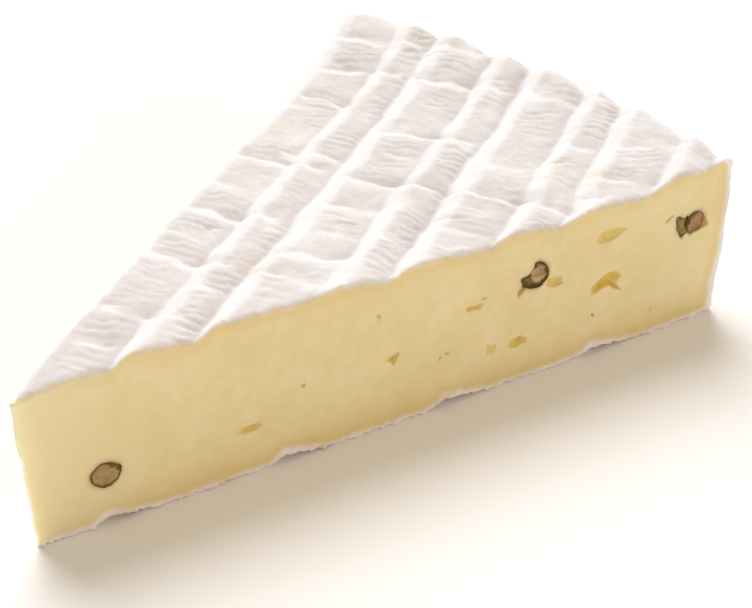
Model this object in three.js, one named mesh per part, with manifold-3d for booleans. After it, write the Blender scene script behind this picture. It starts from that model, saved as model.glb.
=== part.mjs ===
// A slice cut from a wheel of soft, white-rinded cheese with green peppercorns in the paste.
// Millimetres, +Z up. +X runs from the point of the slice (the wheel's centre) out to the rim.
// The slice lies on its foot at z = 0, and the origin is at the middle of the floor it covers.

import * as THREE from "three";
import { mergeVertices } from "three/addons/utils/BufferGeometryUtils.js";
import Module from "manifold-3d";

const wasm = await Module();
wasm.setup();

// ---- The wheel ----
const wheelRadius = 134.5;      // wheel centre to the top edge of the rim
const rimBulge = 2.5;           // how far the rim swells past that edge
const wheelThickness = 31.5;    // floor to the top of the rind, halfway out
const centreSag = 2.5;          // how far the top sinks at the wheel's centre
const centreSagRadius = 8;
const rimRise = 2.8;            // how far the top lifts beside the rim
const rimRiseWidth = 32;
const topEdgeRadius = 2.2;      // rounding between the top and the rim
const footEdgeRadius = 1.2;     // rounding between the foot and the rim

// ---- The slice ----
const sliceAngle = THREE.MathUtils.degToRad(39);
const pointRadius = 0.6;        // the knife leaves the point very slightly blunt

// ---- Rack marks, pressed into the rind while the young wheel drained ----
// All marks run at markAngle to the slice's middle line, almost along its far side.
const markAngle = THREE.MathUtils.degToRad(18.5);
// first is where one mark of the family lies; each side of a mark slopes up over its own width.
const topMarks = { pitch: 21, first: 3.2, depth: 1.7, steepWidth: 3.6, gentleWidth: 6 };
const topMidMarks = { pitch: 21, first: 11.5, depth: 1.1, steepWidth: 3.6, gentleWidth: 8 };
const crossMarks = { pitch: 19.2, first: 4.6, depth: 0.8, steepWidth: 3.6, gentleWidth: 5 };
const footMarks = { pitch: 19.5, first: 11.9, depth: 1.2, steepWidth: 5.5, gentleWidth: 5.5 };

// ---- Peppercorns and eyes ----
const peppercornDiameter = 5.6;
const socketClearance = 0.3;    // air between a peppercorn and the paste or the piece beside it

// Where a thing sits in a cut face: out is its share of the way from the point of the slice to
// the rim, and up is its share of the thickness above the floor. inset is how far its centre
// lies behind the face, and size is its share of the usual peppercorn's diameter.
const peppercorns = [
  { name: "near_peppercorn_point", side: "near", out: 0.099, up: 0.32, inset: 0.5, size: 1 },
  { name: "near_peppercorn_middle", side: "near", out: 0.694, up: 0.68, inset: 0.9, size: 1 },
  { name: "near_peppercorn_rim", side: "near", out: 0.958, up: 0.71, inset: 0.6, size: 0.82 },
  { name: "far_peppercorn_point", side: "far", out: 0.23, up: 0.59, inset: 0.6, size: 0.95 },
  { name: "far_peppercorn_middle", side: "far", out: 0.52, up: 0.29, inset: 0.8, size: 1.04 },
  { name: "far_peppercorn_rim", side: "far", out: 0.83, up: 0.65, inset: 0.3, size: 0.98 },
];
// A broken piece of skin and flesh lies against one of them, on the side towards the point.
const brokenCorn = "near_peppercorn_rim";
const huskSize = 0.62;

// Eyes are the gas holes that the knife opened. length and width are measured in the cut face,
// depth behind it, and tilt is the lean of the long side above the horizontal, in degrees.
const eyes = [
  { side: "near", out: 0.289, up: 0.29, length: 5.4, width: 2.2, depth: 1.6, tilt: 12 },
  { side: "near", out: 0.486, up: 0.44, length: 3.4, width: 1.8, depth: 1.4, tilt: 50 },
  { side: "near", out: 0.605, up: 0.59, length: 3.6, width: 1.6, depth: 1.2, tilt: 5 },
  { side: "near", out: 0.675, up: 0.26, length: 4.2, width: 2.2, depth: 1.8, tilt: 18 },
  { side: "near", out: 0.817, up: 0.77, length: 7, width: 2.4, depth: 1.8, tilt: 15 },
  { side: "near", out: 0.812, up: 0.46, length: 7, width: 4.4, depth: 2.2, tilt: 30 },
  { side: "far", out: 0.16, up: 0.3, length: 5, width: 2.2, depth: 1.5, tilt: -10 },
  { side: "far", out: 0.36, up: 0.68, length: 4.2, width: 2, depth: 1.4, tilt: 25 },
  { side: "far", out: 0.43, up: 0.39, length: 6.4, width: 3.2, depth: 2, tilt: -18 },
  { side: "far", out: 0.69, up: 0.53, length: 7.2, width: 2.6, depth: 1.8, tilt: 8 },
  { side: "far", out: 0.91, up: 0.35, length: 4.4, width: 2.4, depth: 1.6, tilt: 35 },
];

// ---- Fineness of the facets ----
const ringStep = 3.9;           // distance between rings of facets on the top and the foot
const turnSegments = 180;       // facets around the whole wheel
const rimSteps = 9;
const eyeSegments = 12;
const peppercornSegments = 20;
const knifeMargin = 20;         // how far the knife's outline reaches past the cheese

const halfAngle = sliceAngle / 2;
const sliceLength = wheelRadius + rimBulge;
const pointCentre = pointRadius / Math.sin(halfAngle);    // of the blunt point's rounding
const pointSetback = pointCentre - pointRadius;           // wheel centre to the blunt point

// How deep a family of parallel marks is at a distance across them.
function markDepth(across, marks) {
  const turns = (across - marks.first) / marks.pitch;
  const away = (turns - Math.round(turns)) * marks.pitch;
  const width = away < 0 ? marks.steepWidth : marks.gentleWidth;
  const nearness = Math.max(0, 1 - Math.abs(away) / width);
  return marks.depth * nearness ** 1.3;
}

// Distances of a point along the rack marks and across them.
function rackCoordinates(x, y) {
  const along = x * Math.cos(markAngle) + y * Math.sin(markAngle);
  const across = y * Math.cos(markAngle) - x * Math.sin(markAngle);
  return { along, across };
}

function topHeight(x, y) {
  const { along, across } = rackCoordinates(x, y);
  const radius = Math.hypot(x, y);
  const sag = centreSag * Math.exp(-radius / centreSagRadius);
  const rise = rimRise * Math.max(0, 1 - (wheelRadius - radius) / rimRiseWidth) ** 2;
  const marks = markDepth(across, topMarks) + markDepth(across, topMidMarks)
    + markDepth(along, crossMarks);
  return wheelThickness + rise - sag - marks;
}

// The foot is flat on the floor between its marks, where the cheese's weight settles it.
function footHeight(x, y) {
  return markDepth(rackCoordinates(x, y).across, footMarks);
}

// Half the outline of the wheel's section, from the centre of its foot to the centre of its top.
function wheelProfile() {
  const rings = Math.ceil((wheelRadius - topEdgeRadius) / ringStep);
  const flat = (height, reach) => Array.from({ length: rings }, (_, i) =>
    new THREE.Vector2((reach * i) / rings, height));
  const rim = new THREE.SplineCurve([
    new THREE.Vector2(wheelRadius + rimBulge * 0.5 - footEdgeRadius, 0),
    new THREE.Vector2(wheelRadius + rimBulge * 0.55, footEdgeRadius),
    new THREE.Vector2(wheelRadius + rimBulge * 0.6, wheelThickness * 0.2),
    new THREE.Vector2(wheelRadius + rimBulge, wheelThickness * 0.6),
    new THREE.Vector2(wheelRadius + rimBulge * 0.5, wheelThickness - topEdgeRadius),
    new THREE.Vector2(wheelRadius - topEdgeRadius, wheelThickness),
  ]);
  return [
    ...flat(0, wheelRadius - footEdgeRadius),
    ...rim.getPoints(rimSteps + 3),
    ...flat(wheelThickness, wheelRadius - topEdgeRadius).reverse(),
  ];
}

// A closed solid from a three.js geometry: shared corners merged, triangles without area dropped.
function toSolid(geometry) {
  const bare = geometry.clone();
  bare.deleteAttribute("normal");
  bare.deleteAttribute("uv");
  const merged = mergeVertices(bare, 1e-4);
  const corners = merged.index.array;
  const kept = [];
  for (let i = 0; i < corners.length; i += 3) {
    const [a, b, c] = corners.slice(i, i + 3);
    if (a !== b && b !== c && c !== a) kept.push(a, b, c);
  }
  return new wasm.Manifold(new wasm.Mesh({
    numProp: 3,
    vertProperties: new Float32Array(merged.attributes.position.array),
    triVerts: new Uint32Array(kept),
  }));
}

function toGeometry(solid) {
  const { vertProperties, triVerts } = solid.getMesh();
  const geometry = new THREE.BufferGeometry();
  geometry.setAttribute("position", new THREE.BufferAttribute(vertProperties, 3));
  geometry.setIndex(new THREE.BufferAttribute(triVerts, 1));
  geometry.computeVertexNormals();
  return geometry;
}

// The whole wheel, its flat top and foot drawn out to the heights that the rack left them.
function wheelSolid() {
  const geometry = new THREE.LatheGeometry(wheelProfile(), turnSegments);
  geometry.rotateX(Math.PI / 2);
  const position = geometry.attributes.position;
  for (let i = 0; i < position.count; i += 1) {
    const x = position.getX(i);
    const y = position.getY(i);
    const foot = footHeight(x, y);
    const share = position.getZ(i) / wheelThickness;
    position.setZ(i, foot + (topHeight(x, y) - foot) * share);
  }
  return toSolid(geometry);
}

// The space between the two knife cuts, which meet at the wheel's centre.
function sliceSolid() {
  const reach = sliceLength + knifeMargin;
  const outline = new THREE.Shape();
  outline.moveTo(reach, -reach * Math.tan(halfAngle));
  outline.lineTo(reach, reach * Math.tan(halfAngle));
  outline.absarc(pointCentre, 0, pointRadius, Math.PI / 2 + halfAngle, 1.5 * Math.PI - halfAngle, false);
  outline.closePath();
  const depth = wheelThickness + rimRise + 2 * knifeMargin;
  const geometry = new THREE.ExtrudeGeometry(outline, { depth, bevelEnabled: false, curveSegments: 4 });
  geometry.translate(0, 0, -knifeMargin);
  return toSolid(geometry);
}

// A round body turned and placed in a cut face, its own Y axis pointing out of the slice.
// shift moves it along the face from where out puts it.
function placeInCut(geometry, { side, out, up, inset = 0, tilt = 0, shift = 0 }) {
  const sign = side === "near" ? -1 : 1;
  geometry.rotateY(THREE.MathUtils.degToRad(-tilt));
  geometry.translate(out * wheelRadius + shift, -sign * inset, up * wheelThickness);
  geometry.rotateZ(sign * halfAngle);
  return toSolid(geometry);
}

function eyeSolid(eye) {
  const geometry = new THREE.SphereGeometry(0.5, eyeSegments, eyeSegments / 2);
  geometry.scale(eye.length, 2 * eye.depth, eye.width);
  return placeInCut(geometry, eye);
}

// A peppercorn, or with a clearance the socket that the paste keeps around it.
function peppercornSolid(corn, clearance = 0) {
  const radius = (peppercornDiameter * corn.size) / 2 + clearance;
  const rows = peppercornSegments / 2;
  return placeInCut(new THREE.SphereGeometry(radius, peppercornSegments, rows), corn);
}

// The broken piece touches its peppercorn's socket but keeps the clearance to the peppercorn.
function huskBeside(corn) {
  const apart = (peppercornDiameter * (corn.size + huskSize)) / 2 + socketClearance;
  return { ...corn, name: "near_peppercorn_husk", size: huskSize, shift: -apart };
}

const rindWhite = new THREE.MeshStandardMaterial({ color: 0xe9dcc0, roughness: 0.7, metalness: 0 });
const pepperGreen = { color: 0x6b5a32, roughness: 0.6, metalness: 0 };

const slice = sliceSolid();
const corns = [...peppercorns, huskBeside(peppercorns.find(({ name }) => name === brokenCorn))];
const openings = [
  ...eyes.map(eyeSolid),
  ...corns.map((corn) => peppercornSolid(corn, socketClearance)),
];
const cheese = openings.reduce(
  (solid, opening) => solid.subtract(opening),
  wheelSolid().intersect(slice),
);

const part = new THREE.Group();
part.position.x = -(pointSetback + sliceLength) / 2;

const cheeseMesh = new THREE.Mesh(toGeometry(cheese), rindWhite);
cheeseMesh.name = "cheese_wedge";
part.add(cheeseMesh);

for (const corn of corns) {
  const cutCorn = peppercornSolid(corn).intersect(slice);
  const mesh = new THREE.Mesh(toGeometry(cutCorn), new THREE.MeshStandardMaterial(pepperGreen));
  mesh.name = corn.name;
  part.add(mesh);
}

export default part;
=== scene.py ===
import math
import random

import bmesh
import bpy
import numpy as np
from mathutils import Matrix, Vector, noise


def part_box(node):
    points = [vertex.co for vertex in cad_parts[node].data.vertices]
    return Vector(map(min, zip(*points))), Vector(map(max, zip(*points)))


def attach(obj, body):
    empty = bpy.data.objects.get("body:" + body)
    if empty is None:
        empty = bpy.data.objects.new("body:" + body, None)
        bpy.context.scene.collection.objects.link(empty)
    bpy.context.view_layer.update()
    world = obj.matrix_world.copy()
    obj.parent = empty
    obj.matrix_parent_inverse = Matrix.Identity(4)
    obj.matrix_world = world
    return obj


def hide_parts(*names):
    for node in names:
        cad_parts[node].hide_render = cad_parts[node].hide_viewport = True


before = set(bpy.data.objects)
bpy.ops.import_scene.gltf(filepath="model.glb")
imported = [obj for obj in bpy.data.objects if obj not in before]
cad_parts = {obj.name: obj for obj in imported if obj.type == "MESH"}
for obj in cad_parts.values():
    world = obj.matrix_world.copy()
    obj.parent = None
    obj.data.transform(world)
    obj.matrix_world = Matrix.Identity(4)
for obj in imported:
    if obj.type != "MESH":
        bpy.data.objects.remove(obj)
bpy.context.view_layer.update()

# A slice of soft, white-rinded cheese with green peppercorns in its paste. Sizes are in millimetres
# unless a note says otherwise, and mm turns them into Blender's metres.
mm = 0.001

# The knife cuts meet at the wheel's centre, so the slice's own box gives the wheel back.
halfAngle = math.radians(19.5)                       # each cut's angle to the slice's middle line
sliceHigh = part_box("cheese_wedge")[1]
wheelReach = sliceHigh.y / math.sin(halfAngle) / mm  # wheel centre to the fullest part of the rim
wheelCentreX = sliceHigh.x / mm - wheelReach
nearOut = Vector((-math.sin(halfAngle), -math.cos(halfAngle), 0))    # out of the cut towards -Y
farOut = Vector((-math.sin(halfAngle), math.cos(halfAngle), 0))

wedge = {
    "thickness": 31.5,       # floor to the top of the pads
    "rimBulge": 2.5,         # how far the rim swells past the top edge
    "topEdge": 1.8,          # rounding of the top edge
    "centreSag": 2.6,        # the top sinks at the wheel's centre ...
    "centreSagRadius": 7.0,
    "rimRise": 3.2,          # ... and lifts beside the rim
    "rimRiseWidth": 30.0,
    "farFullness": 0.4,      # the rim stands higher by this share towards the far cut
    "farSwell": 1.2,         # and reaches this much further out there
    "rimLump": 0.55,         # height and width of the rim's broad lumps
    "rimLumpWidth": 14,
    "rimCreases": ((0.35, 5), (0.2, 2)),    # heights and widths of its finer ones
    "pointLean": 1.7,        # the foot of the point lies this far behind its top
    "spinSteps": 26,
    "voxel": 0.42,           # fineness of the finished skin
    "kept": 0.5,             # share of its facets that are kept, most of them in the relief
    "quickVoxel": 0.6,
    "toolVoxel": 0.25,       # fineness of the eyes and sockets
}

# marks of the draining rack: deep grooves, shallow ones between them, and short creases across.
# A mark has a steep side and a gentle one, as the cheese slid a little against the bars.
rack = {
    "angle": math.radians(18.5),        # to the slice's middle line
    "pitch": 21.0,
    "firstDeep": 3.2, "deepDepth": 1.9, "deepSteep": 3.4, "deepGentle": 5.8,
    "firstShallow": 11.5, "shallowDepth": 1.35, "shallowSteep": 2.8, "shallowGentle": 9.2,
    "creaseDepth": 0.85, "creaseSteep": 2.0, "creaseGentle": 4.6, "creaseSlant": 0.17,
    "wrinkle": 0.12, "wrinklePitch": 1.9,
    "sway": ((0.8, 13), (0.6, 4.5)),            # how far the marks sway, and over what length
    "unevenness": ((0.3, 15), (0.2, 5)),        # heights and widths of lumps in the rind
    "feltGrain": ((0.14, 2.2), (0.1, 1.0)),
    "firstFoot": 11.6, "footPitch": 19.4, "footDepth": 1.25, "footSteep": 2.0, "footGentle": 6.2,
}

# creases across the marks: way along, from and to across, and strength
creases = [
    (17, -9, -2, 0.8), (26, -15, -1, 1.0), (36, -18, -10, 0.6), (42.5, -15, 2, 1.2), (49, -8, 1, 0.5),
    (58.5, -16, 2, 1.2), (66, -5, 1, 0.4), (78, -17, 0, 1.0), (83, -19, -7, 1.0), (99, -6, 2, 0.7),
    (104, -12, 0, 0.8), (117, -16, 1, 1.1), (128, -17, 2, 0.8), (43.5, -34, -18, 0.8),
    (51.5, -33, -18, 0.7), (60, -38, -24, 0.5), (69, -34, -18, 0.6), (80, -61, -18, 1.5),
    (89, -36, -22, 0.4), (97.5, -38, -20, 1.1), (119, -40, -18, 1.2), (129, -30, -16, 0.7),
    (68, -52, -38, 0.7), (75, -48, -38, 0.4), (92, -50, -39, 0.5), (104, -60, -50, 0.4),
    (119, -58, -40, 0.8), (95, -74, -60, 0.7), (107, -76, -62, 0.6), (88, -66, -60, 0.7),
]

# small dents in the top rind: way along the marks, way across, radius and depth
dimples = [
    (52.5, -6.6, 0.9, 0.55), (46, -2.5, 1.1, 0.5), (84.5, -26, 3.2, 0.6), (82, -18.5, 2.2, 0.6),
    (84.5, -46, 2.4, 0.5), (84.5, -56, 3.0, 0.55), (111, -26, 1.0, 0.3), (131, -24, 1.6, 0.5),
    (36, -24, 0.7, 0.35), (63, -35, 1.0, 0.35), (104, -4, 1.3, 0.3), (121, -44, 1.6, 0.4),
]

# fine splits in the felt: way along, from and to across, and depth
splits = [
    (71, -46, -39, 0.45), (53, -9, -3, 0.4), (63, -29, -23, 0.35), (88, -35, -30, 0.4),
    (108, -28, -23, 0.35), (96, -57, -51, 0.4), (126, -24, -17, 0.4), (33, -17, -12, 0.3),
    (101, -10, -4, 0.35), (113, -50, -44, 0.3),
]
splitWidth, splitSlant = 0.35, 0.35


def noiseAt(points, size, seed):
    # smooth noise from -1 to 1 whose lumps are size mm across
    shift = Vector((seed * 17.31, seed * -9.77, seed * 5.13))
    return np.array([noise.noise(Vector(p) / size + shift) for p in points])


def noiseSum(points, firstSeed, parts):
    # several noises added up: parts are pairs of height and size, each with the next seed
    return sum(height * noiseAt(points, size, firstSeed + i) for i, (height, size) in enumerate(parts))


def smoothStep(low, high, value):
    t = np.clip((value - low) / (high - low), 0, 1)
    return t * t * (3 - 2 * t)


def rackCoordinates(x, y):
    c, s = math.cos(rack["angle"]), math.sin(rack["angle"])
    along, across = x * c + y * s, y * c - x * s
    return along, across, np.stack([along, across, np.zeros_like(along)], -1)


def lopsided(away, steep, gentle):
    # section of a mark: 1 at its bottom, 0 where its two unequal sides end
    width = np.where(away < 0, steep, gentle)
    return np.clip(1 - np.abs(away) / width, 0, 1) ** 1.5


def steepSide(away, steep):
    # 1 on the steep side of a mark, fading out above its edge and in its bottom
    return smoothStep(-steep - 1.4, -steep + 0.6, away) * (1 - smoothStep(-1.0, 0.3, away))


def fromNearest(across, first, pitch):
    turns = (across - first) / pitch
    return (turns - np.round(turns)) * pitch


def topRelief(x, y, fine=True):
    # height of the top rind over the floor, how deep its marks are there,
    # and from 0 to 1 how much painted highlight the steep side of a mark takes there
    along, across, flat = rackCoordinates(x, y)
    radius = np.hypot(x, y)
    across = across + noiseSum(flat, 1, rack["sway"])
    along = along + 1.5 * noiseAt(flat, 9, 6) + 0.8 * noiseAt(flat, 3.5, 13)
    height = wedge["thickness"] - wedge["centreSag"] * np.exp(-radius / wedge["centreSagRadius"])
    topRadius = wheelReach - wedge["rimBulge"]
    nearRim = np.clip(1 - (topRadius - radius) / wedge["rimRiseWidth"], 0, 1)
    farSide = 1 + wedge["farFullness"] * smoothStep(-0.1, 0.34, y / np.maximum(radius, 1))
    height = height + wedge["rimRise"] * farSide * nearRim ** 2

    deepAway = fromNearest(across, rack["firstDeep"], rack["pitch"])
    deep = lopsided(deepAway, rack["deepSteep"], rack["deepGentle"])
    shallowAway = fromNearest(across, rack["firstShallow"], rack["pitch"])
    shallow = lopsided(shallowAway, rack["shallowSteep"], rack["shallowGentle"])
    patchy = np.clip(0.9 + 0.8 * noiseAt(flat, 17, 4), 0.25, 1.3)
    firm = 0.9 + 0.5 * noiseAt(flat, 20, 3)
    dips = rack["deepDepth"] * firm * deep + rack["shallowDepth"] * patchy * shallow
    # painted highlight: 1 on the steep side of each mark
    tall = np.maximum(steepSide(deepAway, rack["deepSteep"]),
                      steepSide(shallowAway, rack["shallowSteep"]) * patchy)
    uneven = np.clip(0.85 + 1.1 * noiseAt(flat, 6, 14), 0.2, 1.6)
    for place, low, high, strength in creases:
        off = along + rack["creaseSlant"] * (across - (low + high) / 2) - place
        reach = smoothStep(low - 1, low + 2, across) * (1 - smoothStep(high - 2, high + 1, across))
        crease = lopsided(off, rack["creaseSteep"], rack["creaseGentle"])
        dips = dips + rack["creaseDepth"] * strength * uneven * crease * reach * (1 - 0.6 * deep)
        highlightShare = np.minimum(strength * uneven, 1)
        tall = np.maximum(tall, steepSide(off, rack["creaseSteep"]) * reach * highlightShare)
    height = height - dips + noiseSum(flat, 7, rack["unevenness"])

    if fine:
        # fine wrinkles run down the gentle side of each mark, where the rind was squeezed
        flank = 1.6 * smoothStep(0, 1, deepAway) * (1 - smoothStep(3.5, 5.5, deepAway))
        flank = flank + 0.85 * smoothStep(0.3, 1.5, shallowAway) * (1 - smoothStep(7, 9.5, shallowAway))
        flank = flank * smoothStep(-0.25, 0.35, noiseAt(flat, 7, 9)) + 0.15
        drift = 1.1 * noiseAt(flat, 2.6, 10) + 0.25 * across
        folds = np.abs(np.sin(math.pi * (along + drift) / rack["wrinklePitch"])) ** 0.8
        height = height + rack["wrinkle"] * flank * (folds - 0.6) * 2
        height = height + noiseSum(flat, 11, rack["feltGrain"])
        for place, low, high, deepness in splits:
            off = along - place + splitSlant * (across - (low + high) / 2) + 0.5 * noiseAt(flat, 2.5, 15)
            ends = smoothStep(low, low + 1.5, across) * (1 - smoothStep(high - 1.5, high, across))
            height = height - deepness * np.exp(-((off / splitWidth) ** 2)) * ends
        for dentAlong, dentAcross, dentRadius, dentDepth in dimples:
            spread = ((along - dentAlong) ** 2 + (across - dentAcross) ** 2) / dentRadius ** 2
            height = height - dentDepth * np.exp(-spread)
    return height, dips, tall


def footCusp(x, y):
    # 1 along the middle of a mark in the foot, 0 on the flat strips that the cheese stands on
    along, across, flat = rackCoordinates(x, y)
    away = fromNearest(across + 0.35 * noiseAt(flat, 12, 21), rack["firstFoot"], rack["footPitch"])
    width = np.where(away > 0, rack["footSteep"], rack["footGentle"])
    return np.clip(1 - np.abs(away) / width, 0, 1) ** 1.25


def footHeight(x, y):
    flat = np.stack([x, y, np.zeros(len(x))], -1)
    grit = 0.14 * np.abs(noiseAt(flat, 4, 22)) + 0.08 * np.abs(noiseAt(flat, 1.6, 23))
    return rack["footDepth"] * footCusp(x, y) + grit


def rimOutline():
    # section of the rim from the foot up: way out from the wheel's centre, and height
    thick, bulge, edge = wedge["thickness"], wedge["rimBulge"], wedge["topEdge"]
    top = wheelReach - bulge
    return [(top - 1.0, 0), (top + 0.9 * bulge, 0.5), (top + 0.75 * bulge, 2.2),
            (top + 0.55 * bulge, 0.2 * thick), (top + 0.9 * bulge, 0.38 * thick),
            (wheelReach, 0.58 * thick), (top + 0.92 * bulge, 0.76 * thick),
            (top + 0.55 * bulge, thick - edge), (top - 0.1 * edge, thick - 0.35 * edge),
            (top - edge, thick)]


def rimSwell(points, x, y):
    # how far the broad lumps of the rim, and its swelling towards the far cut, push it out
    towardsFar = smoothStep(0, 0.34, y / np.maximum(np.hypot(x, y), 1))
    return wedge["rimLump"] * noiseAt(points, wedge["rimLumpWidth"], 31) + wedge["farSwell"] * towardsFar


def behindCuts(x, y):
    # how far a point lies behind the near cut and behind the far one
    s, c = math.sin(halfAngle), math.cos(halfAngle)
    return x * s + y * c, x * s - y * c


def finishMesh(obj):
    # a mesh with its modifiers applied, in place of the one that has them
    bpy.context.view_layer.update()
    graph = bpy.context.evaluated_depsgraph_get()
    done = bpy.data.meshes.new_from_object(obj.evaluated_get(graph))
    obj.modifiers.clear()
    old, obj.data = obj.data, done
    bpy.data.meshes.remove(old)


def triangles(obj):
    return sum(len(polygon.vertices) - 2 for polygon in obj.data.polygons)


def meshObject(name, bm):
    mesh = bpy.data.meshes.new(name)
    bm.to_mesh(mesh)
    bm.free()
    obj = bpy.data.objects.new(name, mesh)
    bpy.context.scene.collection.objects.link(obj)
    return obj


def voxelSkin(obj, size):
    remesh = obj.modifiers.new("skin", "REMESH")
    remesh.mode, remesh.voxel_size = "VOXEL", size


def readPoints(mesh):
    points = np.empty(len(mesh.vertices) * 3)
    mesh.vertices.foreach_get("co", points)
    return points.reshape(-1, 3)


def writePoints(mesh, points):
    mesh.vertices.foreach_set("co", np.ascontiguousarray(points, float).ravel())
    mesh.update()


def writeAttributes(mesh, **values):
    for name, numbers in values.items():
        attribute = mesh.attributes.new(name, "FLOAT", "POINT")
        attribute.data.foreach_set("value", np.ascontiguousarray(numbers, np.float32))


# Eyes are the gas holes that the knife opened in each cut face: way out from the wheel's centre,
# height over the floor, depth, and outline around the middle, x outwards along the cut and y up.
eyes = {
    "near": [
        (38.5, 9.2, 1.0, [(-2.5, 0.0), (-1.2, 0.9), (1.0, 1.0), (2.5, 0.3), (1.3, -0.6), (-1.3, -0.8)]),
        (65.1, 14.0, 0.9, [(-1.6, 0.2), (0.1, 0.6), (1.4, 1.2), (1.1, 0.0), (0.1, -1.5), (-0.7, -0.4)]),
        (81.2, 18.9, 0.8, [(-2.1, 0.4), (-1.0, 0.8), (0.0, 0.3), (1.1, 0.7), (2.1, -0.1), (1.2, -0.8),
         (-0.3, -0.5), (-1.5, -0.5)]),
        (90.9, 8.4, 1.1, [(-2.2, -0.2), (-1.6, 0.9), (0.5, 1.2), (2.1, 0.2), (1.9, -0.8), (0.1, -1.2),
         (-1.7, -0.9)]),
        (85.2, 8.6, 0.45, [(-1.1, 1.6), (1.4, 0.9), (0.8, -1.3), (-1.2, -1.2)]),
        (109.8, 24.9, 0.85, [(-3.2, 0.9), (-1.3, 1.5), (1.2, 1.2), (3.6, 0.4), (1.7, -0.9),
         (-0.8, -1.4), (-2.8, -1.2), (-3.5, -0.4)]),
        (109.6, 14.8, 1.3, [(-3.6, 0.4), (-2.1, 1.0), (-0.6, 2.1), (0.9, 2.4), (2.6, 1.8), (3.6, 0.7),
         (2.7, -0.2), (2.4, -1.2), (4.0, -2.8), (1.9, -2.0), (0.9, -0.8), (-1.1, -1.0), (-2.6, -1.7),
         (-3.4, -1.2)]),
        (98.0, 18.9, 0.8, [(-2.2, 1.3), (1.3, 0.7), (1.6, -0.9), (0.2, -1.1), (-1.8, -0.5)]),
        (90.7, 19.2, 1.1, [(-0.8, 0.1), (0.5, 1.3), (1.1, 0.4), (0.3, -0.8), (-0.6, -1.2)]),
        (122.7, 24.2, 0.6, [(-1.3, -0.7), (-0.9, 0.1), (0.3, 0.7), (1.5, 0.9), (0.8, 0.1),
         (-0.3, -0.6)]),
        (131.2, 21.6, 1.1, [(-1.3, 2.0), (0.1, 0.9), (1.1, -1.1), (0.2, -1.5), (-0.8, -0.5)]),
        (62.2, 23.4, 0.5, [(-0.6, 0.5), (0.1, 0.5), (0.7, -0.3), (0.2, -0.6), (-0.5, 0.0)]),
        (48.0, 14.6, 0.4, [(-0.4, 0.3), (0.4, 0.4), (0.4, -0.3), (-0.2, -0.4)]),
        (120.8, 5.3, 0.45, [(-1.0, -0.3), (0.2, 0.5), (1.1, 0.6), (0.3, -0.2), (-0.7, -0.7)]),
    ],
    "far": [
        (21.5, 9.4, 1.0, [(-2.6, 0.2), (-1.0, 0.9), (1.0, 1.0), (2.5, 0.1), (1.6, -0.8), (-1.0, -0.9)]),
        (48.5, 21.6, 0.9, [(-1.9, -0.6), (-0.9, 0.5), (1.2, 0.9), (2.0, 0.1), (0.9, -0.8),
         (-0.8, -0.9)]),
        (58.0, 12.0, 1.3, [(-3.2, 1.3), (-1.0, 1.6), (1.5, 0.8), (3.1, -0.5), (1.6, -1.6), (0.0, -0.7),
         (-1.9, -0.8)]),
        (76.5, 19.0, 0.5, [(-0.8, 0.3), (0.3, 0.7), (0.9, -0.1), (0.1, -0.6)]),
        (93.0, 16.4, 1.1, [(-3.4, -0.6), (-2.0, 0.8), (0.9, 1.2), (3.4, 0.4), (2.2, -0.7), (0.2, -1.0),
         (-2.0, -1.2)]),
        (122.0, 10.6, 0.9, [(-1.9, -1.2), (-0.9, 0.7), (1.1, 1.4), (2.1, 0.9), (1.2, -0.4),
         (-0.4, -1.1)]),
    ],
}
pits = {"seed": 4, "inEachFace": 9, "radius": (0.15, 0.3), "stretch": 2.4}    # pinholes in the paste


def cutMatrix(side, out, up, inset=0.0):
    # x outwards along the cut, y up, z out of the cut face; mm from the wheel's centre
    sign = -1 if side == "near" else 1
    along = Vector((math.cos(halfAngle), sign * math.sin(halfAngle), 0))
    outward = nearOut if side == "near" else farOut
    turn = Matrix((along, Vector((0, 0, 1)), outward)).transposed().to_4x4()
    return Matrix.Translation(along * out + Vector((0, 0, up)) - outward * inset) @ turn


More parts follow.
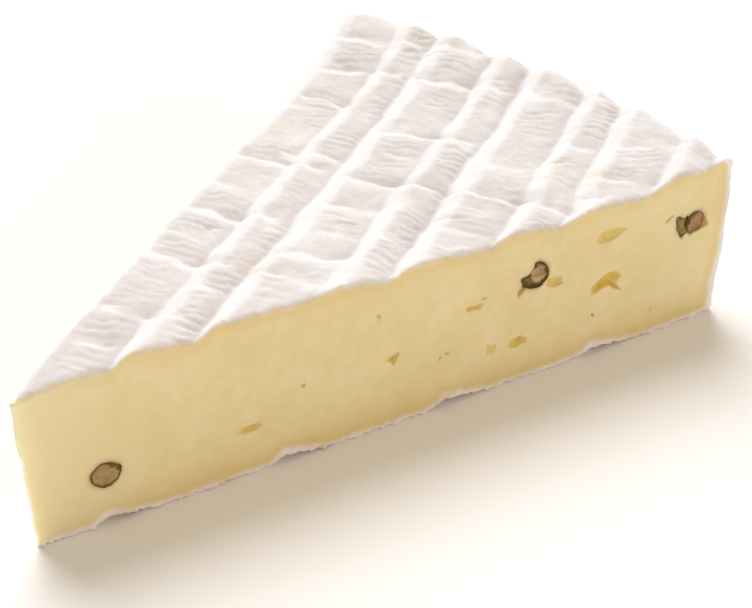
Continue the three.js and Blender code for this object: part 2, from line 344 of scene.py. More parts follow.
def carvingTools(corns):
    # everything that is cut out of the paste: pockets for the eyes, sockets for the peppercorns
    bm = bmesh.new()
    for side, out, up, depth, outline in [(side, *hole) for side in eyes for hole in eyes[side]]:
        # a pocket starts outside the cut face and narrows inwards
        level = [bm.verts.new((x * 1.1, y * 1.1, 0.6)) for x, y in outline]
        face = bm.faces.new(level)
        moved = list(level)
        for step, width in ((0.6, 0.92), (0.5 * depth, 0.78), (0.5 * depth, 0.5)):
            swept = bmesh.ops.extrude_face_region(bm, geom=[face])["geom"]
            level = [v for v in swept if isinstance(v, bmesh.types.BMVert)]
            face = next(f for f in swept if isinstance(f, bmesh.types.BMFace))
            bmesh.ops.translate(bm, verts=level, vec=(0, 0, -step))
            middle = sum((v.co for v in level), Vector()) / len(level)
            bmesh.ops.scale(bm, verts=level, vec=(width, width, 1), space=Matrix.Translation(-middle))
            moved += level
        place = Matrix.Translation((wheelCentreX, 0, 0)) @ cutMatrix(side, out, up)
        bmesh.ops.transform(bm, verts=moved, matrix=place)
    bmesh.ops.recalc_face_normals(bm, faces=bm.faces)
    bmesh.ops.scale(bm, verts=bm.verts, vec=(mm, mm, mm))

    scatter = random.Random(pits["seed"])
    fromMm, toMm = Matrix.Scale(mm, 4), Matrix.Scale(1 / mm, 4)
    for side in ("near", "far"):
        for _ in range(pits["inEachFace"]):
            size = scatter.uniform(*pits["radius"])
            pit = bmesh.ops.create_icosphere(bm, subdivisions=3, radius=size * mm)["verts"]
            lean = Matrix.Rotation(scatter.uniform(0, math.pi), 4, "Z")
            place = cutMatrix(side, scatter.uniform(8, 132), scatter.uniform(4, 28), 0.25 * size)
            place = Matrix.Translation((wheelCentreX * mm, 0, 0)) @ fromMm @ place @ toMm
            stretch = Matrix.Diagonal((pits["stretch"], 1, 1, 1))
            bmesh.ops.transform(bm, verts=pit, matrix=place @ lean @ stretch)
    for corn in corns:
        body = berryBody(corn, berry["socketGap"])
        body.data.transform(Matrix.Translation(corn["centre"]))
        bm.from_mesh(body.data)
        bpy.data.objects.remove(body)

    tools = meshObject("carvingTools", bm)
    voxelSkin(tools, wedge["toolVoxel"] * mm)
    soften = tools.modifiers.new("soften", "SMOOTH")
    soften.factor, soften.iterations = 0.5, 4
    finishMesh(tools)
    points = readPoints(tools.data) / mm
    for axis in range(3):
        points[:, axis] += 0.07 * noiseAt(points, 1.1, 80 + axis)
    writePoints(tools.data, points * mm)
    return tools


def sectorSolid():
    # the outline of half the wheel's section, spun from one cut to the other
    outline = [(0, 0), *rimOutline(), (0, wedge["thickness"])]
    bm = bmesh.new()
    verts = [bm.verts.new((x * mm, 0, z * mm)) for x, z in outline]
    face = bm.faces.new(verts)
    start = Matrix.Rotation(-halfAngle, 3, "Z")
    bmesh.ops.rotate(bm, verts=bm.verts, cent=(0, 0, 0), matrix=start)
    bmesh.ops.spin(bm, geom=[face, *face.edges, *verts], cent=(0, 0, 0), axis=(0, 0, 1),
                   angle=2 * halfAngle, steps=wedge["spinSteps"], use_duplicate=False)
    bmesh.ops.remove_doubles(bm, verts=bm.verts, dist=1e-6)
    openEdges = [e for e in bm.edges if len(e.link_faces) == 1]
    if openEdges:
        bmesh.ops.holes_fill(bm, edges=openEdges, sides=0)
    bmesh.ops.recalc_face_normals(bm, faces=bm.faces)
    return meshObject("cheeseWedge", bm)


# what the knife left on the cut faces; pairs are height and width
cutFace = {
    "waves": ((0.3, 24), (0.1, 6), (0.03, 1.5)),
    "drag": 0.035, "dragWidth": 0.9,            # faint upright streaks
    "fade": 1.6,                                # all of it fades out this far behind the cut
    "footLip": 0.25, "footLipHeight": 0.7,      # the rind's cut edge stands proud at the foot ...
    "beads": ((1.5, 1.5), (0.7, 0.8)), "beadPush": 0.6,
    "topLip": ((0.4, 3.1), (0.2, 1.1)), "topLipHeight": 0.9,    # ... and is crinkled at the top
    "cornerSize": 0.9, "cornerBack": 0.35, "cornerDown": 0.3,
    "serration": 0.45, "serrationWidth": 1.6, "serrationHeight": 1.2, "serrationDepth": 1.5,
}


def buildCheese(corns):
    cheese = sectorSolid()
    voxelSkin(cheese, wedge["voxel"] * mm)
    finishMesh(cheese)

    mesh = cheese.data
    points = readPoints(mesh) / mm
    x, y, z = points.T.copy()
    share = z / wedge["thickness"]
    radius = np.hypot(x, y)
    behindNear, behindFar = behindCuts(x, y)

    # heights: the relief of the top belongs to the top few millimetres, the pads to all of it
    foot = footHeight(x, y)
    broad, full = topRelief(x, y, False)[0], topRelief(x, y)[0]
    nearTop = smoothStep(0.86, 0.985, share)
    points[:, 2] = foot + (broad - foot) * share + (full - broad) * nearTop

    # the rind of the rim is lumpy and creased level
    onRim = smoothStep(wheelReach - 9, wheelReach - 2, radius)
    creased = points * np.array([1, 1, 1.8])
    lumps = rimSwell(points, x, y) + noiseSum(creased, 32, wedge["rimCreases"])
    for axis, part in ((0, x), (1, y)):
        points[:, axis] += onRim * lumps * part / np.maximum(radius, 1e-6)

    # cut faces: slow waves, faint drag of the knife, a crinkled lip where the rind was cut
    underTop, overFoot = np.maximum(full - points[:, 2], 0), np.maximum(points[:, 2] - foot, 0)
    behind = np.minimum(behindNear, behindFar)
    outward = np.where((behindNear < behindFar)[:, None], np.array(nearOut), np.array(farOut))
    onCut = np.exp(-np.maximum(behind, 0) / cutFace["fade"])
    waves = noiseSum(points, 41, cutFace["waves"])
    upright = points * np.array([1, 1, 0.12])
    drag = cutFace["drag"] * noiseAt(upright, cutFace["dragWidth"], 44)
    beads = np.clip(noiseSum(points, 45, cutFace["beads"]), -0.3, 1)
    proud = cutFace["footLip"] + cutFace["beadPush"] * beads
    footLip = np.exp(-overFoot / cutFace["footLipHeight"]) * proud
    crinkles = 0.05 + noiseSum(points, 47, cutFace["topLip"])
    topLip = np.exp(-underTop / cutFace["topLipHeight"]) * crinkles
    cornerSize = cutFace["cornerSize"]
    corner = np.clip(1 - underTop / cornerSize, 0, 1) * np.clip(1 - behind / cornerSize, 0, 1)
    push = onCut * (waves + drag + footLip + topLip) - cutFace["cornerBack"] * corner
    points[:, :2] += outward[:, :2] * push[:, None]
    points[:, 2] -= cutFace["cornerDown"] * corner
    teeth = cutFace["serration"] * np.abs(noiseAt(points, cutFace["serrationWidth"], 49))
    teeth = teeth * np.clip(1 - overFoot / cutFace["serrationHeight"], 0, 1)
    points[:, 2] += teeth * np.clip(1 - behind / cutFace["serrationDepth"], 0, 1)

    # the soft point leans: its foot stays back a little where the knife came down
    lean = wedge["pointLean"] * (1 - share) + 0.35 * noiseAt(points, 7, 51)
    points[:, 0] += np.exp(-radius / 7) * lean
    points[:, 0] += wheelCentreX
    writePoints(mesh, points * mm)

    # eyes and sockets are opened last, so that their edges stay as sharp as the knife left them
    tools = carvingTools(corns)
    mesh.materials.append(bloomyCheese())
    tools.data.materials.append(moistEye())
    thin = cheese.modifiers.new("thin", "DECIMATE")
    thin.ratio = wedge["kept"]
    carve = cheese.modifiers.new("carve", "BOOLEAN")
    carve.object, carve.operation = tools, "DIFFERENCE"
    carve.solver, carve.material_mode = "MANIFOLD", "TRANSFER"
    finishMesh(cheese)
    bpy.data.objects.remove(tools)
    paintCheese(cheese.data, corns)
    for polygon in cheese.data.polygons:
        polygon.use_smooth = True
    return cheese


rindPaint = {
    "footRind": 0.25, "footRindInMarks": 0.8,    # extra thickness at the foot, and in its marks
    "rimRind": 0.7,                              # thickness that the rim's lumps may not bare
    "topEdgeFade": 1.5, "rimHighlight": 0.45,         # marks fade down the rim; the rim takes this even share of the painted highlight
    "pointReach": 9,                             # how far from the point the paste is paler
    "soleHeight": 0.4,
}


def paintCheese(mesh, corns):
    # what the materials need to know about each place, in mm
    points = readPoints(mesh) / mm
    x, y, z = points[:, 0] - wheelCentreX, points[:, 1], points[:, 2]
    radius = np.hypot(x, y)
    top, dips, tall = topRelief(x, y)
    foot, cusp = footHeight(x, y), footCusp(x, y)
    underTop, overFoot = np.maximum(top - z, 0), np.maximum(z - foot, 0)

    # the rind is thicker in the marks of the foot
    footRind = overFoot - rindPaint["footRind"] - rindPaint["footRindInMarks"] * cusp
    level = np.clip((z - foot) / (top - foot), 0, 1) * wedge["thickness"]
    rimRadius = np.interp(level, *zip(*[(height, out) for out, height in rimOutline()]))
    insideRim = np.maximum(rimRadius + rimSwell(points, x, y) - radius - rindPaint["rimRind"], 0)
    behindNear, behindFar = behindCuts(x, y)

    nearest = np.full(len(points), 99.0)
    for corn in corns:
        fromCentre = points - np.array(corn["centre"] / mm)
        away = np.abs(np.linalg.norm(fromCentre, axis=1) - corn["radius"])
        inBite = ballDepth(fromCentre @ np.array(corn["turn"]), corn["bites"]) < 0.3
        nearest = np.minimum(nearest, np.where(inBite, 99.0, away))

    # marks of the rack end at the top edge, and their painted highlight and painted shade with them; the rim
    # gets an even share of the highlight
    onTop = np.exp(-underTop / rindPaint["topEdgeFade"])
    onSole = np.clip(1 - overFoot / rindPaint["soleHeight"], 0, 1)
    writeAttributes(
        mesh, rindDepth=np.minimum(np.minimum(underTop, footRind), insideRim), pressed=dips * onTop,
        tallFelt=tall * onTop + rindPaint["rimHighlight"] * (1 - onTop), overFloor=z,
        nearPoint=np.exp(-radius / rindPaint["pointReach"]), footMark=np.clip(cusp * 1.4, 0, 1) * onSole,
        behindCut=np.maximum(np.minimum(behindNear, behindFar), 0), fromPeppercorn=nearest)


# A peppercorn's own numbers: size across, tilt leans and turns the cut (degrees), cut moves it out
# of the berry's middle, shift moves the berry in the cut face, caps are places where the skin is
# thick (way out, way up, mm), spikes are torn corners (way out, way up, share of the radius,
# sharpness), bites are where paste has filled in (middle and half sizes) and scoops are hollows
# in the flesh. Ways are seen in the cut face.
peppercorns = [
    {"node": "near_peppercorn_point", "side": "near", "size": 5.1, "seed": 1, "tilt": (0, 3),
     "cut": 0.0, "shift": (0.45, 0.0), "skin": 0.17, "skinColour": "#4A390E", "flesh": "#A08453",
     "caps": [(0.8, 0.6, 1.15), (-0.9, -0.5, 0.2), (-0.1, -1, 0.25)],
     "spikes": [(0.9, 0.35, 0.14, 14)], "bites": [], "scoops": []},
    {"node": "near_peppercorn_middle", "side": "near", "size": 5.7, "seed": 2, "tilt": (0, -4),
     "cut": 0.1, "shift": (0.4, 0.1), "skin": 0.2, "skinColour": "#3F2D08",
     "patchColour": "#62501F", "flesh": "#BFA57C",
     "caps": [(-0.85, -0.5, 1.3), (0.0, -1, 1.0), (0.1, 1, 0.7), (0.9, -0.3, 0.35)],
     "spikes": [(-0.9, -0.1, 0.12, 10)], "bites": [(-2.5, 2.3, 0.6, 2.1, 1.9, 2.6)],
     "scoops": [(0.5, 0.5, 0.9, 1.5, 1.0, 0.9)]},
    {"node": "near_peppercorn_rim", "side": "near", "size": 4.6, "seed": 3, "tilt": (4, 8),
     "cut": 0.0, "shift": (0.2, -0.4), "skin": 0.16, "flesh": "#946B4B",
     "caps": [(-1, 0.35, 0.5), (0, 1, 0.2)],
     "spikes": [(0.75, -0.65, 0.25, 20), (-0.2, -1, 0.15, 9)],
     "bites": [(0.4, -2.9, 0.6, 1.0, 0.8, 2.0)], "scoops": [(-1.5, 0.6, 0.5, 0.35, 0.8, 0.9)]},
    {"node": "near_peppercorn_husk", "side": "near", "size": 3.9, "seed": 4, "tilt": (-6, -12),
     "cut": 0.1, "shift": (2.0, -0.25), "skin": 0.25, "flesh": "#827238",
     "caps": [(-1, 0, 0.4)], "spikes": [(-0.85, 0.8, 0.6, 16), (-0.15, -1, 0.5, 20)],
     "bites": [(2.68, 0.2, 0.0, 2.55, 2.75, 2.9), (-0.2, 2.55, 0.6, 0.95, 1.15, 2.2)],
     "scoops": [(-0.2, 0.0, 1.0, 0.7, 0.9, 0.6)]},
    {"node": "far_peppercorn_point", "side": "far", "size": 5.0, "seed": 5, "tilt": (5, -6),
     "cut": 0.1, "shift": (0, 0), "skin": 0.2, "flesh": "#A98A58",
     "caps": [(-0.7, 0.7, 0.6), (0.3, -1, 0.3)], "spikes": [(-0.6, 0.8, 0.12, 12)],
     "bites": [], "scoops": [(0.4, -0.2, 1.2, 1.3, 0.9, 0.6)]},
    {"node": "far_peppercorn_middle", "side": "far", "size": 5.7, "seed": 6, "tilt": (-14, 12),
     "cut": 0.3, "shift": (0, 0), "skin": 0.2, "flesh": "#9C7B4C",
     "caps": [(0.9, -0.4, 0.9), (-0.5, 0.9, 0.4)], "spikes": [],
     "bites": [(2.4, 2.2, 0.4, 1.5, 1.4, 2.2)], "scoops": []},
    {"node": "far_peppercorn_rim", "side": "far", "size": 5.3, "seed": 7, "tilt": (0, 5),
     "cut": 0.0, "shift": (0, 0), "skin": 0.18, "flesh": "#A07A4E",
     "caps": [(0.2, 1, 0.6), (-1, -0.3, 0.25)], "spikes": [(0.5, 0.85, 0.14, 14)],
     "bites": [], "scoops": [(-0.6, 0.3, 1.0, 0.7, 1.2, 0.7)]},
]

# what all of them share
berry = {
    "lumps": 0.07, "ridges": 0.035,    # relief of the skin, as shares of the radius
    "aboveMiddle": 0.2,                # where the knife went through, as a share of the radius
    "socketGap": -0.03,                # the paste touches the skin
    "voxel": 0.1,
}


def settlePeppercorns():
    # centres come from the frame: the middle of a node's box, drawn back behind the cut face
    for corn in peppercorns:
        low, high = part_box(corn["node"])
        outward = nearOut if corn["side"] == "near" else farOut
        corn["radius"] = corn["size"] / 2
        middle = (low + high) / 2
        fromFace = (middle - Vector((wheelCentreX * mm, 0, middle.z))).dot(outward)
        corn["centre"] = middle - outward * (fromFace + berry["aboveMiddle"] * corn["radius"] * mm)
        corn["turn"] = cutMatrix(corn["side"], 0, 0).to_3x3()
        corn["centre"] += corn["turn"] @ Vector((*corn["shift"], 0)) * mm
    return peppercorns


def berrySurface(way, corn):
    # how far the wrinkled skin lies from the berry's middle, in mm; way is in the cut's own axes
    seed = corn["seed"]
    ridges = noise.ridged_multi_fractal(way * 1.7 + Vector((seed, 0, 0)), 0.9, 2.1, 3, 0.9, 2.0)
    lumps = noise.noise(way * 1.3 + Vector((0, seed * 3, 0)))
    reach = 1 + berry["lumps"] * lumps + berry["ridges"] * (ridges - 1.2)
    for out, up, amount, sharpness in corn["spikes"]:
        reach += amount * max(0.0, way.dot(Vector((out, up, 0)).normalized())) ** sharpness
    return corn["radius"] * reach


def berryBody(corn, gap):
    # the whole berry with its bites, turned as it lies in the cheese, gap mm too large all over
    bm = bmesh.new()
    bmesh.ops.create_icosphere(bm, subdivisions=5, radius=1)
    for vert in bm.verts:
        vert.co = vert.co * (berrySurface(vert.co.normalized(), corn) + gap)
    body = meshObject(corn["node"] + "_berry", bm)
    if corn["bites"]:
        carveBalls(body, corn["bites"], -gap)
    body.data.transform(corn["turn"].to_4x4() @ Matrix.Scale(mm, 4))
    return body


def carveBalls(body, balls, grow=0.0):
    bm = bmesh.new()
    for x, y, z, halfX, halfY, halfZ in balls:
        ball = bmesh.ops.create_icosphere(bm, subdivisions=4, radius=1)["verts"]
        bmesh.ops.scale(bm, verts=ball, vec=(halfX + grow, halfY + grow, halfZ + grow))
        bmesh.ops.translate(bm, verts=ball, vec=(x, y, z))
    tool = meshObject("ballTool", bm)
    carve = body.modifiers.new("carve", "BOOLEAN")
    carve.object, carve.operation, carve.solver = tool, "DIFFERENCE", "MANIFOLD"
    finishMesh(body)
    bpy.data.objects.remove(tool)


def ballDepth(points, balls):
    # roughly how far each point lies outside the nearest of the carved balls, in mm
    depth = np.full(len(points), 9.0)
    for x, y, z, halfX, halfY, halfZ in balls:
        scaled = np.linalg.norm((points - np.array([x, y, z])) / np.array([halfX, halfY, halfZ]), axis=1)
        depth = np.minimum(depth, (scaled - 1) * min(halfX, halfY))
    return depth


def buildPeppercorn(corn):
    seed = corn["seed"]
    body = berryBody(corn, 0.0)
    body.data.transform(Matrix.Scale(1 / mm, 4) @ corn["turn"].inverted().to_4x4())
    lean, turn = (math.radians(a) for a in corn["tilt"])
    cutNormal = Matrix.Rotation(turn, 3, "Y") @ Matrix.Rotation(lean, 3, "X") @ Vector((0, 0, 1))
    cutHeight = berry["aboveMiddle"] * corn["radius"] + corn["cut"]
    bm = bmesh.new()
    bm.from_mesh(body.data)
    whole = bm.verts[:] + bm.edges[:] + bm.faces[:]
    cut = bmesh.ops.bisect_plane(bm, geom=whole, plane_co=(0, 0, cutHeight), plane_no=cutNormal,
                                 clear_outer=True)
    rim = [e for e in cut["geom_cut"] if isinstance(e, bmesh.types.BMEdge)]
    bmesh.ops.holes_fill(bm, edges=rim, sides=0)
    bmesh.ops.recalc_face_normals(bm, faces=bm.faces)
    bm.to_mesh(body.data)
    bm.free()
    if corn["scoops"]:
        carveBalls(body, corn["scoops"])
    voxelSkin(body, berry["voxel"])
    finishMesh(body)

    mesh = body.data
    points = readPoints(mesh)
    length = np.linalg.norm(points, axis=1)
    ways = points / np.maximum(length, 1e-6)[:, None]
    full = np.array([berrySurface(Vector(w), corn) for w in ways])
    underSkin = np.maximum(np.minimum(full - length, ballDepth(points, corn["bites"])), 0)
    thickness = np.full(len(points), corn["skin"]) * (1 + 1.1 * noiseAt(points, 1.6, 20 + seed))
    for out, up, amount in corn["caps"]:
        toward = np.clip(ways @ np.array(Vector((out, up, 0)).normalized()), 0, 1) ** 2.5
        thickness = thickness + amount * toward * (1 + 0.6 * noiseAt(points, 0.8, 30 + seed))
    peel = underSkin / np.maximum(thickness, 0.08)

    # the cut is not flat: the flesh sinks inside its skin and has come away from it in places
    onCut = smoothStep(0.05, 0.25, underSkin)
    loose = np.clip(0.12 + 0.5 * noiseAt(points, 1.6, 50 + seed), 0, 0.4)
    gap = np.exp(-(((peel - 1.15) / 0.25) ** 2)) * loose
    hollow = 0.08 + 0.16 * noiseAt(points, 1.3, 60 + seed) + 0.08 * noiseAt(points, 0.45, 70 + seed)
    points -= np.array(cutNormal) * (onCut * hollow + gap)[:, None]
    writePoints(mesh, points)
    writeAttributes(mesh, peel=np.clip(peel, 0, 9), sunken=gap)
    mesh.transform(Matrix.Translation(corn["centre"]) @ Matrix.Scale(mm, 4) @ corn["turn"].to_4x4())
    for polygon in mesh.polygons:
        polygon.use_smooth = True
    return body


def hexColour(code):
    # an sRGB hex colour as Blender's linear one
    parts = [int(code[i:i + 2], 16) / 255 for i in (1, 3, 5)]
    linear = [p / 12.92 if p <= 0.04045 else ((p + 0.055) / 1.055) ** 2.4 for p in parts]
    return (*linear, 1.0)


def addNode(tree, kind, settings=None, inputs=None, output=0):
    # a shader node with its settings and links; gives back the output that is asked for
    node = tree.nodes.new("ShaderNode" + kind)
    for key, value in (settings or {}).items():
        setattr(node, key, value)
    for key, value in (inputs or {}).items():
        if isinstance(value, bpy.types.NodeSocket):
            tree.links.new(value, node.inputs[key])
        else:
            node.inputs[key].default_value = value
    return node.outputs[output]


def newMaterial(name, **sockets):
    # a Principled material; sockets are the numbers that are the same all over it
    material = bpy.data.materials.new(name)
    material.use_nodes = True
    shader = material.node_tree.nodes["Principled BSDF"]
    for socket, value in sockets.items():
        shader.inputs[socket.replace("_", " ")].default_value = value
    return material, material.node_tree, shader


# settings that many nodes share
colourMix = {"data_type": "RGBA"}
times, timesPlus = {"operation": "MULTIPLY"}, {"operation": "MULTIPLY_ADD"}
eased, straight = {"interpolation_type": "SMOOTHSTEP"}, {"interpolation_type": "LINEAR"}

cheeseLook = {
    "paste": "#EAD9A4",        # soft-ripened paste, ivory yellow from the milk's carotene
    "pasteDeep": "#E2C685",    # riper and more see-through just under the rind
    "pastePale": "#EFE0B2",
    "pastePoint": "#ECE3BC",   # paler where light comes through the thin point
    "pasteCurd": "#E4CE92",    # grains of curd that have not quite melted together
    "stainAndShade": "#BC9F55",        # round each peppercorn: olive brine stain together with painted shade where the paste meets it
    "eyeRim": "#EAD48C", "eyeWall": "#E4C44C",
    "rind": "#F9F7F6",         # white felt of mould, here also the painted highlight on the steep sides of the marks
    "rindFlat": "#E8E3E0",     # painted shade: the grey of the flats of the pads and of the rim, against the white felt
    "rindHollowShade": "#DCD4D0",   # painted shade, darker still in the hollows of the rack's marks
    "rindCream": "#F1E6D4",    # cream where the felt has been rubbed
    "footRind": "#FAEEE6",     # pinkish, pressed rind of the foot
    "footMark": "#DCC2A8",     # tan and damp where a bar of the rack lay
    "footWorn": "#E9D6C0",     # felt worn thin on the strips it stands on
    "rindThickness": 0.7,
    "scatterRadius": (1.0, 0.92, 0.72),    # milk fat passes red light furthest
    "patterns": {              # width of the pattern, its detail and roughness
        "crinkle": (2.381, 3, 0.5),        # how the line between rind and paste wanders
        "cloud": (14.29, 4, 0.5),          # slow changes in the paste
        "curd": (2.632, 4, 0.6),           # grains of curd, 2 to 3 mm across
        "felt": (3.846, 5, 0.5),
        "blotch": (22.22, 3, 0.5),         # rubbed places, as wide as a fingertip
        "drifts": (9.091, 5, 0.6),         # patches where the painted highlight spreads or fades, in two sizes
        "banks": (16.67, 2, 0.5),
        "worn": (7.692, 6, 0.65),
        "tufts": (0.6667, 4, 0.7),         # real tufts are half as wide, too fine to show
        "smear": (2.0, 2, 0.5),            # drag of the knife
    },
}


def bloomyCheese():
    # soft-ripened cheese: paste that light goes into, under a dull white felt of mould
    look = cheeseLook
    material, tree, shader = newMaterial(
        "bloomyRindCheese", IOR=1.45, Specular_IOR_Level=0.35, Subsurface_Weight=0.85,
        Subsurface_Radius=look["scatterRadius"])
    place = addNode(tree, "TexCoord", output="Object")
    pattern, known, amount, colour = {}, {}, {}, {}
    for name, (width, detail, roughness) in look["patterns"].items():
        pattern[name] = addNode(tree, "TexNoise", {}, {"Vector": place, "Scale": 1 / (width * mm),
                                                       "Detail": detail, "Roughness": roughness})
    for name in ("rindDepth", "pressed", "tallFelt", "nearPoint", "footMark", "behindCut",
                 "overFloor", "fromPeppercorn"):
        known[name] = addNode(tree, "Attribute", {"attribute_name": name}, output="Fac")

    # depth under the rind and distance from a peppercorn, both with wandering outlines, in mm
    wander = addNode(tree, "Math", timesPlus, {0: pattern["crinkle"], 1: 0.9, 2: -0.45})
    depth = addNode(tree, "Math", {"operation": "ADD"}, {0: known["rindDepth"], 1: wander})
    # brine stain and painted shade in a thin ring round each peppercorn
    brineAndShade = addNode(tree, "Math", timesPlus, {0: wander, 1: 1.6, 2: known["fromPeppercorn"]})
    # painted highlight on the steep sides of the marks, spread and broken up by patches
    tall = addNode(tree, "Math", timesPlus, {0: pattern["drifts"], 1: 1.5, 2: known["tallFelt"]})
    tall = addNode(tree, "Math", timesPlus, {0: pattern["banks"], 1: 1.8, 2: tall})
    damp = addNode(tree, "Math", times, {0: known["footMark"], 1: pattern["worn"]})

    # amount of each layer: what it follows, the two ends of its fade, and its amounts there
    edge = look["rindThickness"]
    fades = {
        "paste": (eased, depth, edge - 0.75, edge + 0.65, 0, 1),
        "cloud": (straight, pattern["cloud"], 0.35, 0.7, 0, 1),
        "curd": (straight, pattern["curd"], 0.4, 0.75, 0, 0.5),
        "underRind": (eased, depth, 1.0, 3.4, 0.4, 0),
        # a deeper yellow over the paste's lowest 8 mm
        "nearFloor": (eased, known["overFloor"], 0.5, 8.0, 0.42, 0),
        "point": (straight, known["nearPoint"], 0, 1, 0, 1),
        "brineAndShade": (eased, brineAndShade, 0, 0.8, 0.3, 0),
        "tall": (eased, tall, 1.43, 2.58, 0, 1),
        # painted shade in the marks, darker where they are deeper
        "pressed": (straight, known["pressed"], 0.9, 2.6, 0, 1),
        "rubbed": (straight, pattern["blotch"], 0.54, 0.78, 0, 0.5),
        "grain": (straight, pattern["felt"], 0.3, 0.7, 0.93, 1),
        "nearCut": (eased, known["behindCut"], 0.1, 0.7, 1, 0),
        "film": (eased, depth, 0, 0.7, 0, 0.6),
        "worn": (straight, pattern["worn"], 0.48, 0.66, 0, 0.9),
        "damp": (straight, damp, 0.1, 0.5, 0, 0.85),
        "foot": (straight, known["overFloor"], 2.0, 4.5, 1, 0),
    }
    for name, (easing, value, low, high, atLow, atHigh) in fades.items():
        amount[name] = addNode(tree, "MapRange", easing, {"Value": value, "From Min": low, "From Max": high,
                                                          "To Min": atLow, "To Max": atHigh})

    # layers of colour on the paste, on the rind of the top and rim, and on that of the foot
    layers = {
        "paste": [("cloud", "pastePale"), ("curd", "pasteCurd"), ("underRind", "pasteDeep"),
                  ("nearFloor", "pasteDeep"), ("point", "pastePoint"), ("brineAndShade", "stainAndShade")],
        # rind of the top and rim: painted highlight on the steep sides, painted shade in the marks, rubbed
        # cream
        "rindFlat": [("tall", "rind"), ("pressed", "rindHollowShade"), ("rubbed", "rindCream")],
        "footRind": [("worn", "footWorn"), ("damp", "footMark")],
    }
    for base, coats in layers.items():
        colour[base] = hexColour(look[base])
        for part, coat in coats:
            colour[base] = addNode(tree, "Mix", colourMix, {0: amount[part], 6: colour[base],
                                                            7: hexColour(look[coat])}, 2)
    for base in ("rindFlat", "footRind"):
        colour[base] = addNode(tree, "Mix", {**colourMix, "blend_type": "MULTIPLY"},
                               {0: 1.0, 6: colour[base], 7: amount["grain"]}, 2)

    # the knife dragged a film of paste over the cut edge of the rind
    film = addNode(tree, "Math", times, {0: amount["nearCut"], 1: amount["film"]})
    skin = colour["rindFlat"]
    for share, over in ((film, hexColour(look["pastePale"])), (amount["foot"], colour["footRind"]),
                        (amount["paste"], colour["paste"])):
        skin = addNode(tree, "Mix", colourMix, {0: share, 6: skin, 7: over}, 2)

    # felt stands up in tufts and is rough; cut paste is smooth, and light goes deeper into it
    feltHeight = addNode(tree, "Math", times, {0: pattern["tufts"], 1: 0.22})
    smearHeight = addNode(tree, "Math", times, {0: pattern["smear"], 1: 0.06})
    relief = addNode(tree, "Mix", {"data_type": "FLOAT"}, {0: amount["paste"], 2: feltHeight, 3: smearHeight})
    links = {
        "Base Color": skin,
        "Roughness": addNode(tree, "Math", timesPlus, {0: amount["paste"], 1: -0.38, 2: 0.88}),
        "Normal": addNode(tree, "Bump", {}, {"Height": relief, "Distance": 1.0 * mm, "Strength": 0.8}),
        "Subsurface Scale": addNode(tree, "Math", timesPlus, {0: amount["paste"], 1: 1.5 * mm, 2: 0.2 * mm}),
    }
    for socket, link in links.items():
        tree.links.new(link, shader.inputs[socket])
    return material


def moistEye():
    # wall of an eye: the same paste, never touched by the knife, moist; its deeper yellow further in is
    # partly its own colour, partly painted shade in the pocket
    material, tree, shader = newMaterial(
        "moistEyeWall", Roughness=0.33, IOR=1.45, Subsurface_Weight=0.7,
        Subsurface_Radius=cheeseLook["scatterRadius"], Subsurface_Scale=1.5 * mm)
    place = addNode(tree, "TexCoord", output="Object")
    behind = addNode(tree, "Attribute", {"attribute_name": "behindCut"}, output="Fac")
    mottle = addNode(tree, "TexNoise", {}, {"Vector": place, "Scale": 1 / (1.4286 * mm), "Detail": 3.0})
    # towards the back of the pocket the wall takes the deeper yellow: painted shade in the recess
    inward = addNode(tree, "Math", timesPlus, {0: mottle, 1: 1.2, 2: behind})
    inward = addNode(tree, "MapRange", eased, {"Value": inward, "From Min": 0.8, "From Max": 2.1})
    wall = addNode(tree, "Mix", colourMix, {0: inward, 6: hexColour(cheeseLook["eyeRim"]),
                                            7: hexColour(cheeseLook["eyeWall"])}, 2)
    dimpled = addNode(tree, "Bump", {}, {"Height": mottle, "Distance": 0.2 * mm, "Strength": 0.6})
    tree.links.new(wall, shader.inputs["Base Color"])
    tree.links.new(dimpled, shader.inputs["Normal"])
    return material


cornLook = {
    "skin": "#5A4614", "skinGreen": "#806A2A",    # olive-brown, greener in patches
    "edge": "#94763A",                            # inner edge of the skin
    "fleshPale": "#C3A97A", "line": "#7A5C2C",
    "patterns": {                                 # width of the pattern, its detail and roughness
        "wander": (0.9091, 3, 0.5),
        "fibres": (0.7692, 4, 0.65),              # fibres of the flesh, drawn three times as wide
        "broad": (2.222, 2, 0.5),
        "patches": (1.6667, 3, 0.5),
        "fine": (0.3846, 3, 0.5),
    },
}


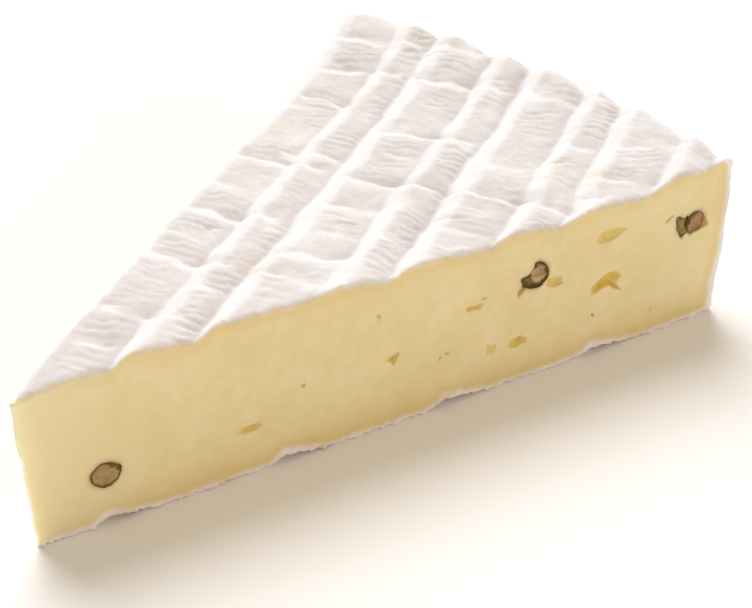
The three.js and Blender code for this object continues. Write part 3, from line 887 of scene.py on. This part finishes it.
def greenPeppercorn(corn):
    # brined green peppercorn: wrinkled olive-brown skin, khaki seed where the knife opened it
    look = cornLook
    material, tree, shader = newMaterial("brinedPeppercorn" + str(corn["seed"]), IOR=1.45,
                                         Specular_IOR_Level=0.18)
    place = addNode(tree, "TexCoord", output="Object")
    pattern, amount, colour = {}, {}, {}
    for name, (width, detail, roughness) in look["patterns"].items():
        pattern[name] = addNode(tree, "TexNoise", {}, {"Vector": place, "Scale": 1 / (width * mm),
                                                       "Detail": detail, "Roughness": roughness})
    # peel is the depth in thicknesses of the skin; sunken is the gap where flesh has come away, which is
    # painted dark as shade
    peel = addNode(tree, "Attribute", {"attribute_name": "peel"}, output="Fac")
    sunken = addNode(tree, "Attribute", {"attribute_name": "sunken"}, output="Fac")
    peel = addNode(tree, "Math", timesPlus, {0: pattern["wander"], 1: 0.7, 2: peel})
    fades = {
        "flesh": (eased, peel, 1.2, 1.55, 0, 1),
        "edge": (straight, peel, 0.85, 1.35, 0, 1),
        "fibres": (straight, pattern["fibres"], 0.35, 0.75, 0, 0.75),
        "broad": (straight, pattern["broad"], 0.5, 0.72, 0, 0.5),
        # painted shade in the gap where the flesh came away, darkened towards the skin's colour
        "sunken": (straight, sunken, 0.05, 0.3, 0, 0.8),
        "patches": (straight, pattern["patches"], 0.35, 0.65, 0, 1),
    }
    for name, (easing, value, low, high, atLow, atHigh) in fades.items():
        amount[name] = addNode(tree, "MapRange", easing, {"Value": value, "From Min": low, "From Max": high,
                                                          "To Min": atLow, "To Max": atHigh})
    layers = {
        "flesh": (corn["flesh"], [("fibres", look["fleshPale"]), ("broad", look["line"]),
                                  ("sunken", look["skin"])]),
        "skin": (corn.get("skinColour", look["skin"]),
                 [("patches", corn.get("patchColour", look["skinGreen"])), ("edge", look["edge"])]),
    }
    for part, (base, coats) in layers.items():
        colour[part] = hexColour(base)
        for name, coat in coats:
            colour[part] = addNode(tree, "Mix", colourMix, {0: amount[name], 6: colour[part],
                                                            7: hexColour(coat)}, 2)
    links = {
        "Base Color": addNode(tree, "Mix", colourMix, {0: amount["flesh"], 6: colour["skin"],
                                                       7: colour["flesh"]}, 2),
        "Roughness": addNode(tree, "Math", timesPlus, {0: amount["flesh"], 1: 0.15, 2: 0.5}),
        "Normal": addNode(tree, "Bump", {}, {"Height": pattern["fine"], "Distance": 0.15 * mm,
                                             "Strength": 0.7}),
    }
    for socket, link in links.items():
        tree.links.new(link, shader.inputs[socket])
    return material


corns = settlePeppercorns()
cheese = buildCheese(corns)
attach(cheese, "root")
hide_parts("cheese_wedge")
print("cheese:", triangles(cheese), "triangles")

for corn in corns:
    body = buildPeppercorn(corn)
    body.data.materials.clear()
    body.data.materials.append(greenPeppercorn(corn))
    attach(body, "root")
    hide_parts(corn["node"])
    print("peppercorn:", body.name, triangles(body), "triangles")

stage = {
    "floorSize": 6.0, "floorColour": "#FDFBF8",    # metres
    "skyColour": "#FFF2E4", "skyStrength": 0.41,
    "keyStrength": 2.68, "keyColour": "#F9FAFF", "keySoftness": 42.0,    # angles in degrees
    "keyHeading": 63.0, "keyRise": 54.5,
    "fillStrength": 0.69, "fillColour": "#FFF9F0", "fillSoftness": 40.0,
    "fillHeading": -88.0, "fillRise": 20.0,
}


def layFloor():
    bm = bmesh.new()
    bmesh.ops.create_grid(bm, x_segments=1, y_segments=1, size=stage["floorSize"] / 2)
    floor = meshObject("floor", bm)
    card = newMaterial("matteWhiteCard", Base_Color=hexColour(stage["floorColour"]), Roughness=0.95,
                       Specular_IOR_Level=0.1)[0]
    floor.data.materials.append(card)


def lightStage():
    world = bpy.data.worlds.new("studioAir")
    world.use_nodes = True
    background = world.node_tree.nodes["Background"]
    background.inputs["Color"].default_value = hexColour(stage["skyColour"])
    background.inputs["Strength"].default_value = stage["skyStrength"]
    bpy.context.scene.world = world
    for name, kind in (("windowLight", "key"), ("whiteReflector", "fill")):
        heading, rise = math.radians(stage[kind + "Heading"]), math.radians(stage[kind + "Rise"])
        level = Vector((math.cos(heading), math.sin(heading), 0))
        way = level * math.cos(rise) + Vector((0, 0, math.sin(rise)))
        lamp = bpy.data.lights.new(name, "SUN")
        lamp.energy, lamp.angle = stage[kind + "Strength"], math.radians(stage[kind + "Softness"])
        lamp.color = hexColour(stage[kind + "Colour"])[:3]
        light = bpy.data.objects.new(name, lamp)
        light.location = way
        light.rotation_euler = way.to_track_quat("Z", "Y").to_euler()
        bpy.context.scene.collection.objects.link(light)


shot = {
    "aim": (17.15 * mm, 2.4 * mm, 1.6 * mm), "distance": 302.5 * mm,
    "heading": math.radians(39.2), "drop": math.radians(34.0), "roll": math.radians(1.2),
    "lens": 76.6, "sensor": 36,
}


def placeCamera():
    heading, drop, roll = shot["heading"], shot["drop"], shot["roll"]
    level = Vector((math.cos(heading), math.sin(heading), 0))
    forward = level * math.cos(drop) - Vector((0, 0, math.sin(drop)))
    sideways = Vector((math.sin(heading), -math.cos(heading), 0))
    upright = sideways.cross(forward)
    right = sideways * math.cos(roll) + upright * math.sin(roll)
    up = upright * math.cos(roll) - sideways * math.sin(roll)
    data = bpy.data.cameras.new("camera")
    data.lens, data.sensor_width = shot["lens"], shot["sensor"]
    data.clip_start = 0.01
    camera = bpy.data.objects.new("camera", data)
    turn = Matrix((right, up, -forward)).transposed().to_4x4()
    camera.matrix_world = Matrix.Translation(Vector(shot["aim"]) - forward * shot["distance"]) @ turn
    bpy.context.scene.collection.objects.link(camera)
    bpy.context.scene.camera = camera


layFloor()
lightStage()
placeCamera()
bpy.context.scene.view_settings.view_transform = "Standard"
print("stage: floor, light and camera are set")
